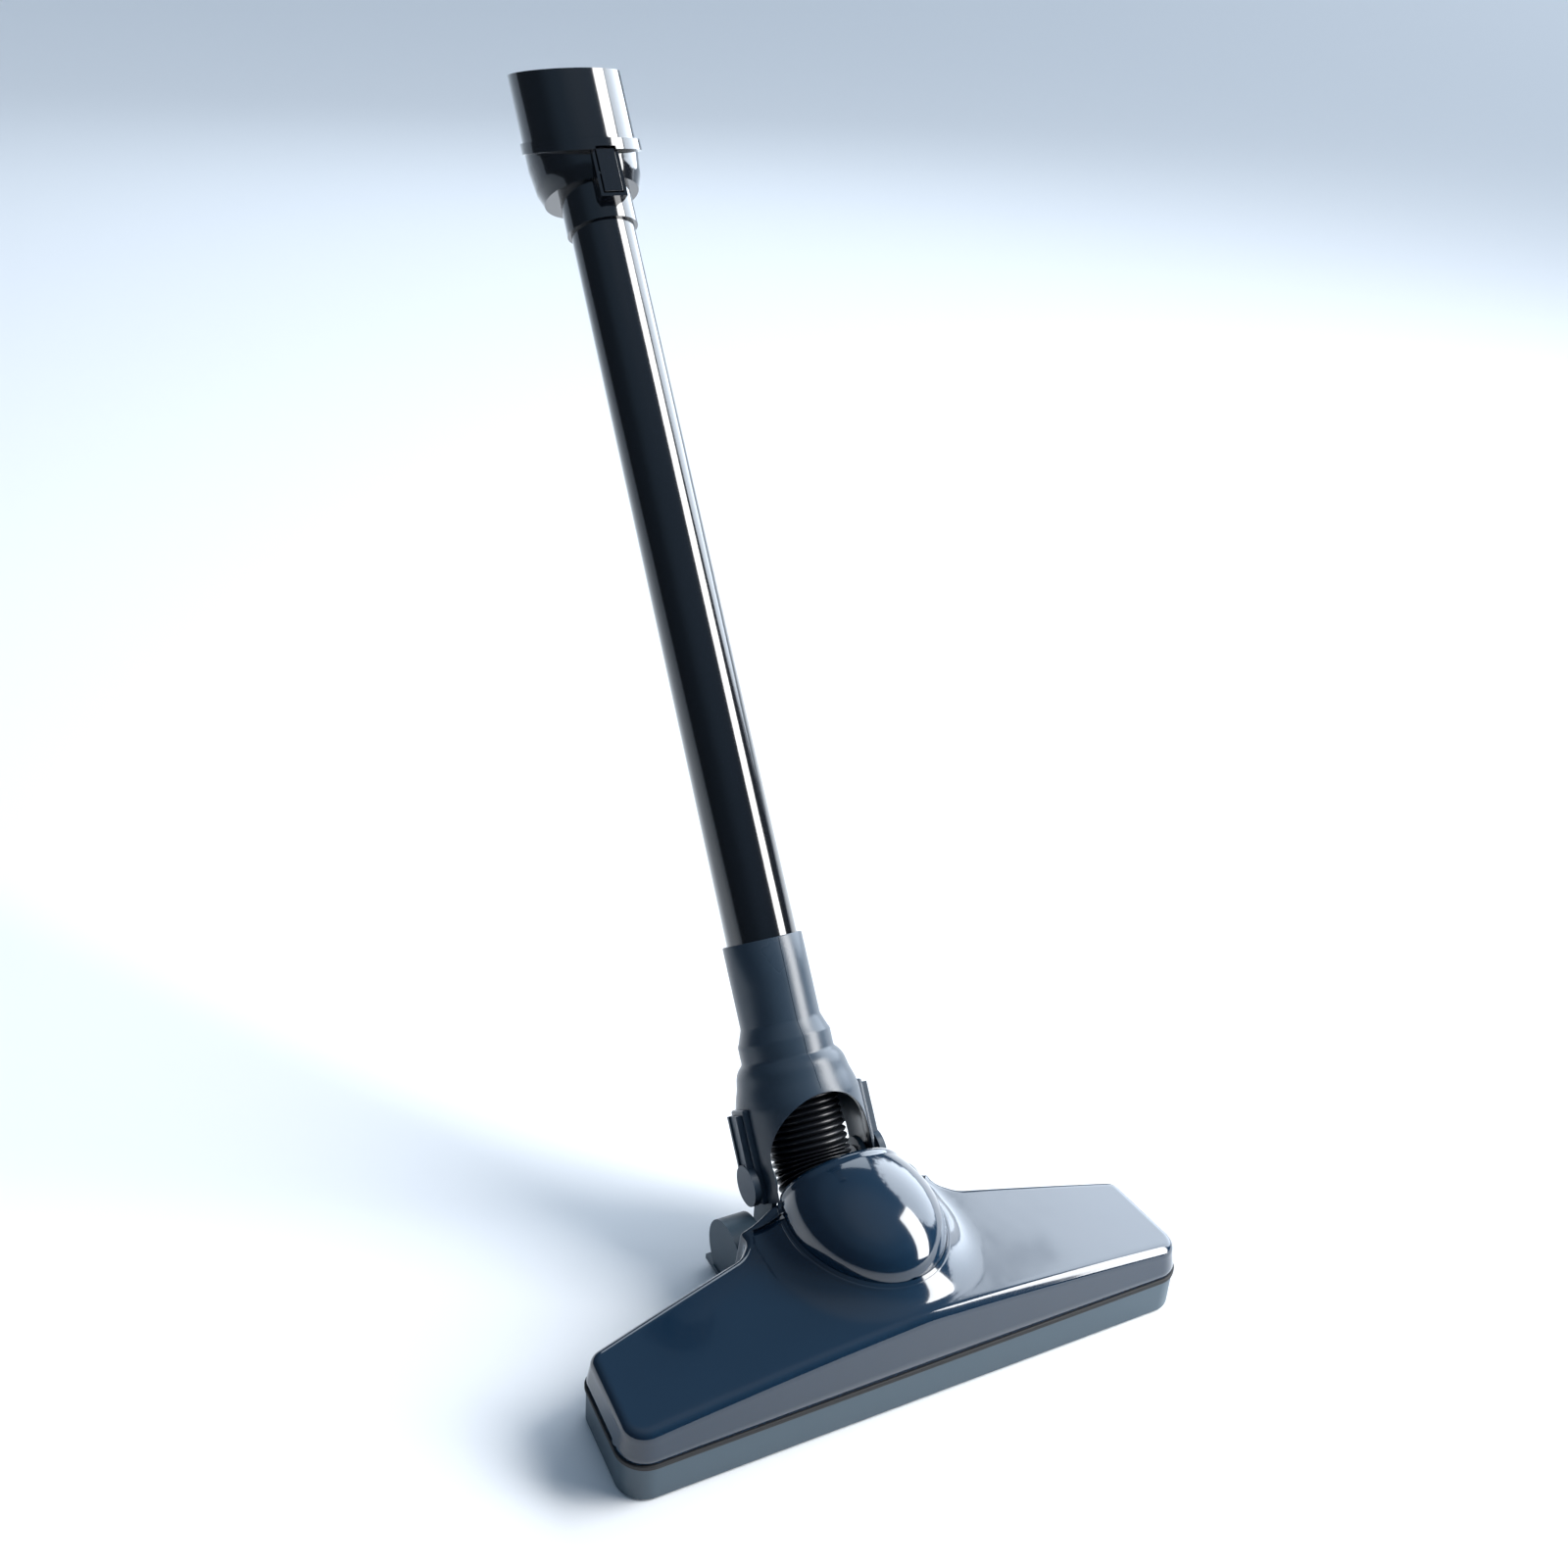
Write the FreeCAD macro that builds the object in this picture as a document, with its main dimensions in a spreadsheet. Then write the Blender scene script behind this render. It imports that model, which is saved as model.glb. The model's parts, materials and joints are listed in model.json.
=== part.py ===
"""Manual vacuum floor head: swivelling suction head, bellows neck, wand and angled adapter.

Frame: millimetres, +Z up, the floor at Z = 0, X across the head and +Y to the rear.
The origin is on the floor, mid-width, in the middle of the sole's front land.
Head pieces are drawn with Y = 0 at the head's front edge and then moved to the frame.
Neck, wand and adapter pieces are drawn with the tilt axis at their origin and local Z
along the wand, and are then leaned back about that axis.
"""
import FreeCAD, Part
import os
import re
import sys

import Sketcher

SIZES = {
    # head, as seen from above; Y sizes count from the front edge
    "headWidth": 270, "endDepth": 53.3, "endTaper": 2.6, "backDepth": 71.3, "humpHalf": 55.4,
    "tailHalf": 50, "hoodRear": 85, "tailStart": 77, "frontReach": 10,
    "cornerFront": 13, "cornerBack": 9, "cornerTail": 4,
    # head, heights
    "baseLow": 0.8, "gapLow": 16.8, "gapHigh": 19.2, "shellEnd": 34, "shellCrown": 44.5,
    "shellWall": 2.2, "baseWall": 2.2, "stripProud": 0.6, "stripDepth": 3, "stripEnd": 73.5,
    "deckLow": 2.5, "deckHigh": 5, "soleInset": 5, "fitGap": 0.15,
    # duct cover and the raised collar around it
    "domeHalf": 33, "domeLong": 42.5, "domeRise": 25, "domeMiddle": 60, "domeSeat": 50, "domeSkirt": 2.5,
    "outletClear": 24.6, "collarTop": 51.5, "collarLow": 36, "collarRim": 1.3, "collarFlare": 11.5,
    "collarFlareLong": 15,
    # suction mouth, channel and duct
    "mouthHalf": 116, "mouthFront": 22, "mouthRear": 40, "ductWall": 2, "channelTop": 16.5,
    "chamberHalf": 20, "chamberFront": 24, "chamberRear": 76, "chamberTop": 47,
    "outletRadius": 15.3, "outletWall": 1.8, "outletRise": 25, "outletStart": 34, "outletEnd": 13,
    "gasketSide": 1.5,
    # sole furniture
    "bristleWidth": 3, "bristleLow": 0.3, "bristleTop": 2.4, "bristleHalf": 114, "grooveDepth": 1.4,
    "frontBristle": 18.2, "rearBristle": 43.8, "lintLong": 44, "lintWidth": 6,
    "lintLow": 0.35, "lintPlace": 72, "lintRear": 50.5, "screwHead": 3, "screwShank": 1.5, "screwLong": 24,
    "bossRadius": 3.4, "screwHole": 1.7, "screwEnd": 108, "screwMid": 47, "screwFront": 12, "screwRear": 49,
    # rear wheels and their housings
    "wheelRadius": 13.5, "wheelWidth": 8, "wheelPlace": 41.5, "wheelBack": 92.5, "tyreDepth": 2.5,
    "axleRadius": 2,
    "runGap": 0.05, "sideGap": 0.6, "fenderRadius": 16.5, "fenderRise": 18, "fenderWall": 2.2,
    "fenderLow": 3.6, "fenderGap": 0.4, "wheelGap": 1, "tailRear": 110, "tailFront": 63.3,
    "axleSkin": 0.8,
    # tilt axis, ears, neck
    "pivotBack": 104.5, "pivotHigh": 43.2, "lean": 35.7, "earOuter": 24.3, "earThick": 2.5, "earHalf": 8,
    "pinRadius": 4, "pinHole": 0.05, "neckRadius": 28.6, "neckWall": 2, "neckShoulder": 33,
    "beltRadius": 25, "beltHigh": 43.5, "bandRadius": 21, "bandLow": 51, "bandHigh": 59,
    "socketRadius": 18.46,
    "socketFoot": 66.3, "socketRim": 104.4, "neckLow": 9, "rearCut": 14, "windowRadius": 25,
    "windowHigh": 8.6,
    "lugProud": 1.8, "lugHalf": 7, "lugTop": 33, "rearLug": 9,
    # pivot clips
    "clipDisc": 9.3, "clipThick": 3.1, "clipGap": 0.1, "strapThick": 2, "strapHalf": 5, "strapTop": 31,
    "ribThick": 0.8, "ribWide": 1.6,
    # bellows and its rings
    "bellowsOuter": 18.5, "bellowsWall": 3, "bellowsTop": 57.5, "bellowsLow": 24, "bendRadius": 34,
    "cuffThick": 1.6, "cuffWide": 6, "cuffStart": 17, "ringWide": 6.5, "ringThick": 1.6, "ringGap": 0.15,
    # wand
    "wandFoot": 62.5, "wandRadius": 16.45, "wandTop": 459, "wandTopRadius": 15, "wandWall": 1.7,
    "taperEnd": 440, "sealLow": 90, "sealWide": 4, "sealDepth": 0.9,
    # adapter
    "sleeveLow": 441.8, "sleeveRadius": 16.7, "sleeveFloor": 2.6, "shelfAt": 460,
    "housingRadius": 22.4, "housingShift": 4, "shoulderAt": 466.5, "shoulderRadius": 24.8,
    "cupRadius": 26.2, "cupShift": 4.6, "cupWall": 1.9,
    "cupStart": 478, "cupBore": 489, "throatRadius": 17, "throatShift": 3.6, "beadAt": 485,
    "beadTall": 5, "beadProud": 1.6,
    "beadShift": 1.1,
    "rimAt": 522, "rimSlant": 22.9,
    # latch on the adapter
    "latchHalf": 6.5, "latchLow": 449, "latchHigh": 477, "pocketHigh": 472, "latchOut": 22,
    "pocketFloor": 17.6,
    "pocketEdge": 1.5, "buttonGap": 0.45, "buttonBack": 19.9, "buttonProud": 0.7, "springRadius": 2.2,
    "springAt": 466,
    "rockerOut": 21.1, "rockerPin": 0.75, "hookAt": 453.2, "hookTall": 2.2, "hookHalf": 1.8,
    "hookTip": 14.3,
    "hookRoom": 0.5,
}
FUNCTIONS = {"cos", "sin", "tan", "sqrt", "max"}

doc = FreeCAD.newDocument("vacuum_head")
sheet = doc.addObject("Spreadsheet::Sheet", "sizes")
pieces = {}
counter = {}


def fillSheet():
    """Write every driving size as a plain number with a word for its alias."""
    for row, (alias, number) in enumerate(SIZES.items(), start=1):
        sheet.set(f"A{row}", alias)
        sheet.set(f"B{row}", str(number))
        sheet.setAlias(f"B{row}", alias)
    doc.recompute()


def value(formula):
    return float(sheet.evalExpression(str(formula)))


def bound(formula):
    """The same formula with each alias read from the sheet."""
    def link(match):
        word = match.group(0)
        return word if word in FUNCTIONS else f"sizes.{word}"
    return re.sub(r"[A-Za-z]\w*", link, str(formula))


def tie(thing, **formulas):
    for name, formula in formulas.items():
        thing.setExpression(name, bound(formula))
    return thing


def fresh(kind, name):
    counter[name] = counter.get(name, 0) + 1
    return doc.addObject(kind, f"{name}_{counter[name]}")


def turnTo(along):
    """Rotation that carries local Z onto the named axis."""
    axes = {"X": (0, 1, 0), "Y": (1, 0, 0), "Z": (0, 0, 1)}
    degrees = {"X": 90, "Y": -90, "Z": 0}
    return FreeCAD.Rotation(FreeCAD.Vector(*axes[along]), degrees[along])


def moveTo(thing, x=0, y=0, z=0):
    for axis, formula in (("x", x), ("y", y), ("z", z)):
        thing.setExpression(f"Placement.Base.{axis}", bound(formula))
    return thing


def box(name, x, y, z):
    """Block between two corners, each limit a formula."""
    block = fresh("Part::Box", name)
    tie(block, Length=f"({x[1]}) - ({x[0]})", Width=f"({y[1]}) - ({y[0]})", Height=f"({z[1]}) - ({z[0]})")
    return moveTo(block, x[0], y[0], z[0])


def rod(name, radius, length, at=(0, 0, 0), along="Z"):
    cylinder = fresh("Part::Cylinder", name)
    tie(cylinder, Radius=radius, Height=length)
    cylinder.Placement = FreeCAD.Placement(FreeCAD.Vector(), turnTo(along))
    return moveTo(cylinder, *at)


def rodBetween(name, radius, low, high, at, along="X"):
    """Rod along X from one formula to another."""
    return rod(name, radius, f"({high}) - ({low})", (low, at[0], at[1]), along)


def cut(name, base, *tools):
    """Take the tools away one after another."""
    for tool in tools:
        result = fresh("Part::Cut", name)
        result.Base = base
        result.Tool = tool
        base = result
    return base


def fuse(name, *items):
    result = fresh("Part::MultiFuse", name)
    result.Shapes = list(items)
    return result


def common(name, first, second):
    result = fresh("Part::Common", name)
    result.Base = first
    result.Tool = second
    return result


def originPlane(body, role):
    return next(item for item in body.Origin.OriginFeatures if item.Role == role)


def outline(body, role, points):
    """Closed sketch of straight sides whose corners are tied to the sheet."""
    sketch = body.newObject("Sketcher::SketchObject", f"{body.Name}_outline")
    sketch.AttachmentSupport = [(originPlane(body, role), "")]
    sketch.MapMode = "FlatFace"
    places = [FreeCAD.Vector(value(x), value(y), 0) for x, y in points]
    count = len(places)
    for index, place in enumerate(places):
        sketch.addGeometry(Part.LineSegment(place, places[(index + 1) % count]), False)
    for index in range(count):
        sketch.addConstraint(Sketcher.Constraint("Coincident", index, 2, (index + 1) % count, 1))
    for index, corner in enumerate(points):
        for kind, formula in zip(("DistanceX", "DistanceY"), corner):
            mark = sketch.addConstraint(Sketcher.Constraint(kind, -1, 1, index, 1, value(formula)))
            sketch.setExpression(f"Constraints[{mark}]", bound(formula))
    return sketch


def turned(name, points):
    """Body of revolution about local Z; each point is a radius and a height."""
    body = fresh("PartDesign::Body", name)
    sketch = outline(body, "XZ_Plane", points)
    revolution = body.newObject("PartDesign::Revolution", f"{body.Name}_turn")
    revolution.Profile = sketch
    revolution.ReferenceAxis = (sketch, ["V_Axis"])
    revolution.Angle = 360
    return body


def plate(name, points, low, high):
    """Body padded upwards from a flat outline."""
    body = fresh("PartDesign::Body", name)
    sketch = outline(body, "XY_Plane", points)
    sketch.setExpression("AttachmentOffset.Base.z", bound(low))
    pad = body.newObject("PartDesign::Pad", f"{body.Name}_pad")
    pad.Profile = sketch
    tie(pad, Length=f"({high}) - ({low})")
    return body


def roundEdges(body, radius, wanted):
    """Fillet the edges of a body's tip that the test picks."""
    doc.recompute()
    tip = body.Tip
    names = [f"Edge{index}" for index, edge in enumerate(tip.Shape.Edges, start=1) if wanted(edge)]
    fillet = body.newObject("PartDesign::Fillet", f"{body.Name}_round{len(body.Group)}")
    fillet.Base = (tip, names)
    tie(fillet, Radius=radius)
    body.Tip = fillet
    return body


def keep(thing, label, group):
    """Name a finished piece and put it in its place."""
    thing.Label = label
    if group == "head":
        moveTo(thing, 0, "-frontReach", 0)
    else:
        thing.Placement = FreeCAD.Placement(FreeCAD.Vector(), FreeCAD.Rotation(FreeCAD.Vector(1, 0, 0), -1))
        moveTo(thing, 0, "pivotBack - frontReach", "pivotHigh")
        thing.setExpression("Placement.Rotation.Angle", bound("-lean"))
    pieces[label] = thing
    return thing


# ---------------------------------------------------------------- the head's plan

def planPoints(inset):
    """Half-plan from the front left corner round to the right, drawn anticlockwise."""
    right = [
        (f"headWidth / 2 - ({inset})", f"{inset}"),
        (f"headWidth / 2 - endTaper - ({inset})", f"endDepth - ({inset})"),
        (f"humpHalf - ({inset}) * 0.3", f"backDepth - ({inset})"),
        (f"tailHalf - ({inset})", "tailStart"),
        (f"tailHalf - ({inset})", f"hoodRear - ({inset})"),
    ]
    left = [(f"-({x})", y) for x, y in reversed(right)]
    return right + left


def upright(edge):
    box_ = edge.BoundBox
    return box_.XLength < 1e-6 and box_.YLength < 1e-6


def planBlock(name, inset, low, high):
    """Upright block on the head's plan, its outer corners rounded."""
    body = plate(name, planPoints(inset), low, high)
    endBack = value("headWidth / 2 - endTaper") - value(inset)
    endFront = value("headWidth / 2") - value(inset)
    tail = value("tailHalf") - value(inset)

    def near(edge, x, y):
        middle = edge.CenterOfMass
        return upright(edge) and abs(abs(middle.x) - x) < 0.5 and abs(middle.y - y) < 0.5

    for corner, x, y in (("cornerFront", endFront, 0), ("cornerBack", endBack, value("endDepth")),
                         ("cornerTail", tail, value("hoodRear"))):
        place = abs(y - value(inset))
        roundEdges(body, f"max({corner} - ({inset}); 0.5)", lambda edge: near(edge, x, place))
    return body


CROWN = "(headWidth * headWidth / 4 + (shellCrown - shellEnd)^2) / (2 * (shellCrown - shellEnd))"


def crownedBlock(name, inset, low, drop):
    """Plan block whose top is a shallow arch across the head."""
    block = planBlock(name, inset, low, "shellCrown + 5")
    arch = rod(name + "_arch", f"{CROWN} - ({drop})", "300", (0, "-100", f"shellCrown - {CROWN}"), "Y")
    return common(name + "_crowned", block, arch)


def collarCone(name, shrink, low, high, topExtra):
    """Raised collar round the duct cover, from a wide foot to its rim."""
    sections = []
    levels = (
        (low, "domeHalf + collarFlare", "domeLong + collarFlareLong", "domeMiddle + 4"),
        (high, f"domeHalf + {topExtra}", f"domeLong + {topExtra}", "domeMiddle"),
    )
    for height, half, long, middle in levels:
        ring = fresh("Part::Ellipse", name + "_ring")
        tie(ring, MajorRadius=f"{long} - ({shrink})", MinorRadius=f"{half} - ({shrink})")
        ring.Placement = FreeCAD.Placement(FreeCAD.Vector(), FreeCAD.Rotation(FreeCAD.Vector(0, 0, 1), 90))
        sections.append(moveTo(ring, 0, middle, height))
    loft = fresh("Part::Loft", name)
    loft.Sections = sections
    loft.Solid = True
    loft.Ruled = True
    return loft


def ovalHole(name, gap, low, high):
    """Upright oval prism the size of the duct cover plus a gap."""
    ring = fresh("Part::Ellipse", name + "_oval")
    tie(ring, MajorRadius=f"domeLong + {gap}", MinorRadius=f"domeHalf + {gap}")
    ring.Placement = FreeCAD.Placement(FreeCAD.Vector(), FreeCAD.Rotation(FreeCAD.Vector(0, 0, 1), 90))
    moveTo(ring, 0, "domeMiddle", low)
    prism = fresh("Part::Extrusion", name)
    prism.Base = ring
    prism.DirMode = "Custom"
    prism.Dir = FreeCAD.Vector(0, 0, 1)
    prism.Solid = True
    tie(prism, LengthFwd=f"({high}) - ({low})")
    return prism


def screwPlaces():
    """Six screws: two at each end and two by the middle of the front."""
    places = []
    for side in (-1, 1):
        places.append((f"{side} * screwEnd", "screwFront"))
        places.append((f"{side} * screwEnd", "screwRear"))
        places.append((f"{side} * screwMid", "screwFront"))
    return places


def makeUpperShell():
    outside = crownedBlock("shell_out", "stripProud", "gapHigh", 0)
    inside = crownedBlock("shell_in", "stripProud + shellWall", "gapHigh - 1", "shellWall")
    skin = cut("shell_skin", outside, inside)
    collar = cut(
        "collar_wall",
        collarCone("collar_out", "0", "collarLow", "collarTop", "collarRim"),
        collarCone("collar_in", "shellWall", "collarLow - 1", "collarTop + 1", "collarRim"),
    )
    behind = box("collar_behind", ("-80", "80"), ("hoodRear", "hoodRear + 60"), ("0", "90"))
    collar = cut("collar_trim", collar, behind)
    hole = ovalHole("shell_hole", "fitGap", "gapHigh - 1", "collarTop + 5")
    cellar = box("boss_cellar", ("-headWidth / 2", "headWidth / 2"), ("0", "backDepth"), ("0", "gapHigh + 1"))
    clear = collarCone("collar_clear", "shellWall", "collarLow - 8", "collarTop", "collarRim")
    lower = cut("shell_opened", skin, clear)
    body = fuse("shell_body", lower, collar)
    bosses = []
    holes = []
    for x, y in screwPlaces():
        post = rod("boss", "bossRadius", "shellCrown", (x, y, "deckHigh + fitGap"))
        bosses.append(common("boss_cut", post, fuse("boss_room", outside, cellar)))
        holes.append(rod("boss_hole", "screwShank", "screwLong", (x, y, "0")))
    arches = [rodBetween("shell_arch", "fenderRadius + fenderGap", *limits, ("wheelBack", "fenderRise"))
              for limits in fenderLimits("fenderWall + fenderGap")]
    gate = box("shell_gate", ("-wheelPlace + wheelWidth / 2", "wheelPlace - wheelWidth / 2"),
               ("chamberRear", "hoodRear + 1"), ("gapHigh - 1", "collarLow"))
    shell = cut("shell_final", fuse("shell_all", body, *bosses), hole, gate, *arches, *holes)
    keep(shell, "upper_shell", "head")


def makeDuctCover():
    """Egg-shaped cover over the duct, cut off behind where the bellows comes out."""
    outer = fresh("Part::Ellipsoid", "cover_out")
    tie(outer, Radius1="domeRise", Radius2="domeHalf", Radius3="domeLong")
    inner = fresh("Part::Ellipsoid", "cover_in")
    tie(inner, Radius1="domeRise - shellWall", Radius2="domeHalf - shellWall", Radius3="domeLong - shellWall")
    for egg in (outer, inner):
        moveTo(egg, 0, "domeMiddle", "domeSeat")
    hollow = cut("cover_hollow", outer, inner)
    room = box("cover_room", ("-60", "60"), ("0", "hoodRear"), ("domeSeat - domeSkirt", "domeSeat + 40"))
    keep(common("cover_half", hollow, room), "duct_cover", "head")


def makeBumperStrip():
    ring = cut(
        "strip_ring",
        planBlock("strip_out", "0", "gapLow", "gapHigh"),
        planBlock("strip_in", "stripDepth", "gapLow - 1", "gapHigh + 1"),
    )
    rear = box("strip_rear", ("-headWidth", "headWidth"), ("stripEnd", "hoodRear + 5"), ("0", "gapHigh + 1"))
    keep(cut("strip_open", ring, rear), "bumper_strip", "head")


def ears():
    """Two upright ears inside the neck that carry the tilt pins."""
    plates = []
    bores = []
    for side in (-1, 1):
        low = "-earOuter" if side < 0 else "earOuter - earThick"
        high = "-earOuter + earThick" if side < 0 else "earOuter"
        top = rodBetween("ear_top", "earHalf", low, high, ("pivotBack", "pivotHigh"))
        post = box("ear_post", (low, high), ("pivotBack - earHalf", "pivotBack + earHalf"),
                   ("deckHigh", "pivotHigh"))
        plates += [top, post]
        bores.append(rodBetween("ear_bore", "pinRadius + pinHole", f"{low} - 1", f"{high} + 1",
                                ("pivotBack", "pivotHigh")))
    return plates, bores


def fenderLimits(extra):
    """The two wheel pockets' limits across the head, widened by the extra amount."""
    half = f"wheelWidth / 2 + sideGap + {extra}"
    return [(f"{side} * wheelPlace - ({half})", f"{side} * wheelPlace + {half}") for side in (-1, 1)]


def fenders():
    """Housings over the rear wheels with a slot for the wheel and an axle hole."""
    walls = []
    hollows = []
    axis = ("wheelBack", "wheelRadius")
    widths = [fenderLimits(extra) for extra in ("fenderWall", "0", "fenderWall - axleSkin")]
    for skin, pocket, axle in zip(*widths):
        drum = rodBetween("fender", "fenderRadius", *skin, ("wheelBack", "fenderRise"))
        foot = box("fender_room", skin, ("wheelBack - 2 * fenderRadius", "wheelBack + 2 * fenderRadius"),
                   ("fenderLow", "3 * fenderRadius"))
        walls.append(common("fender_cut", drum, foot))
        hollows.append(rodBetween("fender_hollow", "wheelRadius + wheelGap", *pocket, axis))
        hollows.append(box("fender_slot", pocket,
                           ("wheelBack - wheelRadius - wheelGap", "wheelBack + wheelRadius + wheelGap"),
                           ("-1", "wheelRadius")))
        hollows.append(rodBetween("axle_hole", "axleRadius", *axle, axis))
    return walls, hollows


def makeBaseBody():
    wall = planBlock("base_out", "stripProud", "baseLow", "gapLow")
    tray = planBlock("base_in", "stripProud + baseWall", "deckHigh", "gapLow + 1")
    recess = planBlock("base_recess", "stripProud + soleInset", "baseLow - 1", "deckLow")
    tail = box("base_tail", ("-tailHalf + 1", "tailHalf - 1"), ("tailFront", "tailRear"),
               ("deckLow", "deckHigh"))
    plates, bores = ears()
    walls, hollows = fenders()
    mouth = box("base_mouth", ("-mouthHalf", "mouthHalf"), ("mouthFront", "mouthRear"), ("0", "deckHigh + 1"))
    gate = box("base_gate", ("-outletClear", "outletClear"), ("chamberRear", "hoodRear + 1"),
               ("deckHigh", "gapLow + 1"))
    shanks = [rod("base_shank", "screwHole", "20", (x, y, "0")) for x, y in screwPlaces()]
    shaped = cut("base_shaped", wall, tray, recess)
    body = cut("base_cut", fuse("base_all", shaped, tail, *plates, *walls), *hollows, *bores,
               mouth, gate, *shanks)
    keep(body, "base_body", "head")


def makeSolePlate():
    """Removable sole with the suction mouth, brush grooves, lint pads' seats and screw recesses."""
    slab = planBlock("sole_out", "stripProud + soleInset + fitGap", "0", "deckLow")
    ahead = box("sole_room", ("-headWidth", "headWidth"), ("0", "tailFront - fitGap"), ("-1", "deckHigh"))
    slab = common("sole_ahead", slab, ahead)
    tools = [box("sole_mouth", ("-mouthHalf", "mouthHalf"), ("mouthFront", "mouthRear"), ("-1", "deckHigh"))]
    for place in ("frontBristle", "rearBristle"):
        tools.append(box("sole_groove", ("-bristleHalf", "bristleHalf"),
                         (f"{place} - bristleWidth / 2", f"{place} + bristleWidth / 2"),
                         ("-1", "deckLow - 0.1")))
    for side in (-1, 1):
        tools.append(lintBlock("sole_lint", side, "-1", "grooveDepth", "0"))
    for x, y in screwPlaces():
        tools.append(rod("sole_hole", "screwHole", "20", (x, y, "-1")))
        tools.append(rod("sole_sink", "screwHead + fitGap", "2.4", (x, y, "-1")))
    keep(cut("sole_final", slab, *tools), "sole_plate", "head")


def lintBlock(name, side, low, high, inset):
    middle = f"{side} * lintPlace"
    along = f"lintLong / 2 - ({inset})"
    across = f"lintWidth / 2 - ({inset})"
    return box(name, (f"{middle} - ({along})", f"{middle} + {along}"),
               (f"lintRear - ({across})", f"lintRear + {across}"), (low, high))


def makeSoleFurniture():
    for place, label in (("frontBristle", "front_bristles"), ("rearBristle", "rear_bristles")):
        strip = box(label, ("-bristleHalf + fitGap", "bristleHalf - fitGap"),
                    (f"{place} - bristleWidth / 2 + fitGap", f"{place} + bristleWidth / 2 - fitGap"),
                    ("bristleLow", "bristleTop"))
        keep(fuse(label, strip, box(label, ("-bristleHalf + 1", "bristleHalf - 1"),
                                    (f"{place} - 0.6", f"{place} + 0.6"), ("bristleLow", "bristleTop"))),
             label, "head")
    for side, label in ((-1, "lint_pad_left"), (1, "lint_pad_right")):
        pad = lintBlock(label, side, "lintLow", "grooveDepth", "fitGap")
        pile = lintBlock(label, side, "lintLow + 0.2", "grooveDepth", "fitGap + 0.4")
        keep(fuse(label, pad, pile), label, "head")
    screws = []
    for x, y in screwPlaces():
        head = rod("screw_head", "screwHead", "0.9", (x, y, "0.5"))
        shank = rod("screw_shank", "screwShank", "screwLong - 1.4", (x, y, "1.4"))
        screws.append(fuse("screw", head, shank))
    keep(fuse("screws", *screws), "sole_screws", "head")


def alongOutlet(thing, distance):
    """Lay a rod along the duct's outlet, its far end the given distance short of the tilt axis."""
    thing.Placement = FreeCAD.Placement(FreeCAD.Vector(), FreeCAD.Rotation(FreeCAD.Vector(1, 0, 0), -1))
    moveTo(thing, 0, f"pivotBack - ({distance}) * cos(outletRise)", f"pivotHigh - ({distance}) * sin(outletRise)")
    thing.setExpression("Placement.Rotation.Angle", bound("-(90 - outletRise)"))
    return thing


def outletRod(name, radius, start, end):
    return alongOutlet(rod(name, radius, f"({start}) - ({end})"), start)


def makeAirDuct():
    """Wide channel over the mouth, a chamber under the cover and the outlet pipe."""
    wall = "ductWall"
    channel = box("duct_channel", (f"-mouthHalf - {wall}", f"mouthHalf + {wall}"),
                  (f"mouthFront - {wall}", f"mouthRear + {wall}"), ("deckHigh + gasketSide", "channelTop"))
    chamber = box("duct_chamber", ("-chamberHalf", "chamberHalf"), ("chamberFront", "chamberRear"),
                  ("deckHigh + gasketSide", "chamberTop"))
    pipe = outletRod("duct_pipe", "outletRadius", "outletStart", "outletEnd")
    channelAir = box("channel_air", ("-mouthHalf", "mouthHalf"), ("mouthFront", "mouthRear"),
                     ("0", f"channelTop - {wall}"))
    chamberAir = box("chamber_air", (f"-chamberHalf + {wall}", f"chamberHalf - {wall}"),
                     (f"chamberFront + {wall}", f"chamberRear - {wall}"), ("0", f"chamberTop - {wall}"))
    pipeAir = outletRod("pipe_air", "outletRadius - outletWall", "outletStart + 4", "outletEnd - 1")
    whole = fuse("duct_all", channel, chamber, pipe)
    keep(cut("duct", whole, channelAir, chamberAir, pipeAir), "air_duct", "head")
    seat = fuse("gasket_all",
                box("gasket_long", (f"-mouthHalf - {wall}", f"mouthHalf + {wall}"),
                    (f"mouthFront - {wall}", f"mouthRear + {wall}"), ("deckHigh", "deckHigh + gasketSide")),
                box("gasket_back", ("-chamberHalf", "chamberHalf"), ("chamberFront", "chamberRear"),
                    ("deckHigh", "deckHigh + gasketSide")))
    hole = fuse("gasket_air",
                box("gasket_mouth", ("-mouthHalf", "mouthHalf"), ("mouthFront", "mouthRear"), ("0", "20")),
                box("gasket_room", (f"-chamberHalf + {wall}", f"chamberHalf - {wall}"),
                    (f"chamberFront + {wall}", f"chamberRear - {wall}"), ("0", "20")))
    keep(cut("gasket", seat, hole), "duct_gasket", "head")


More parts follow.
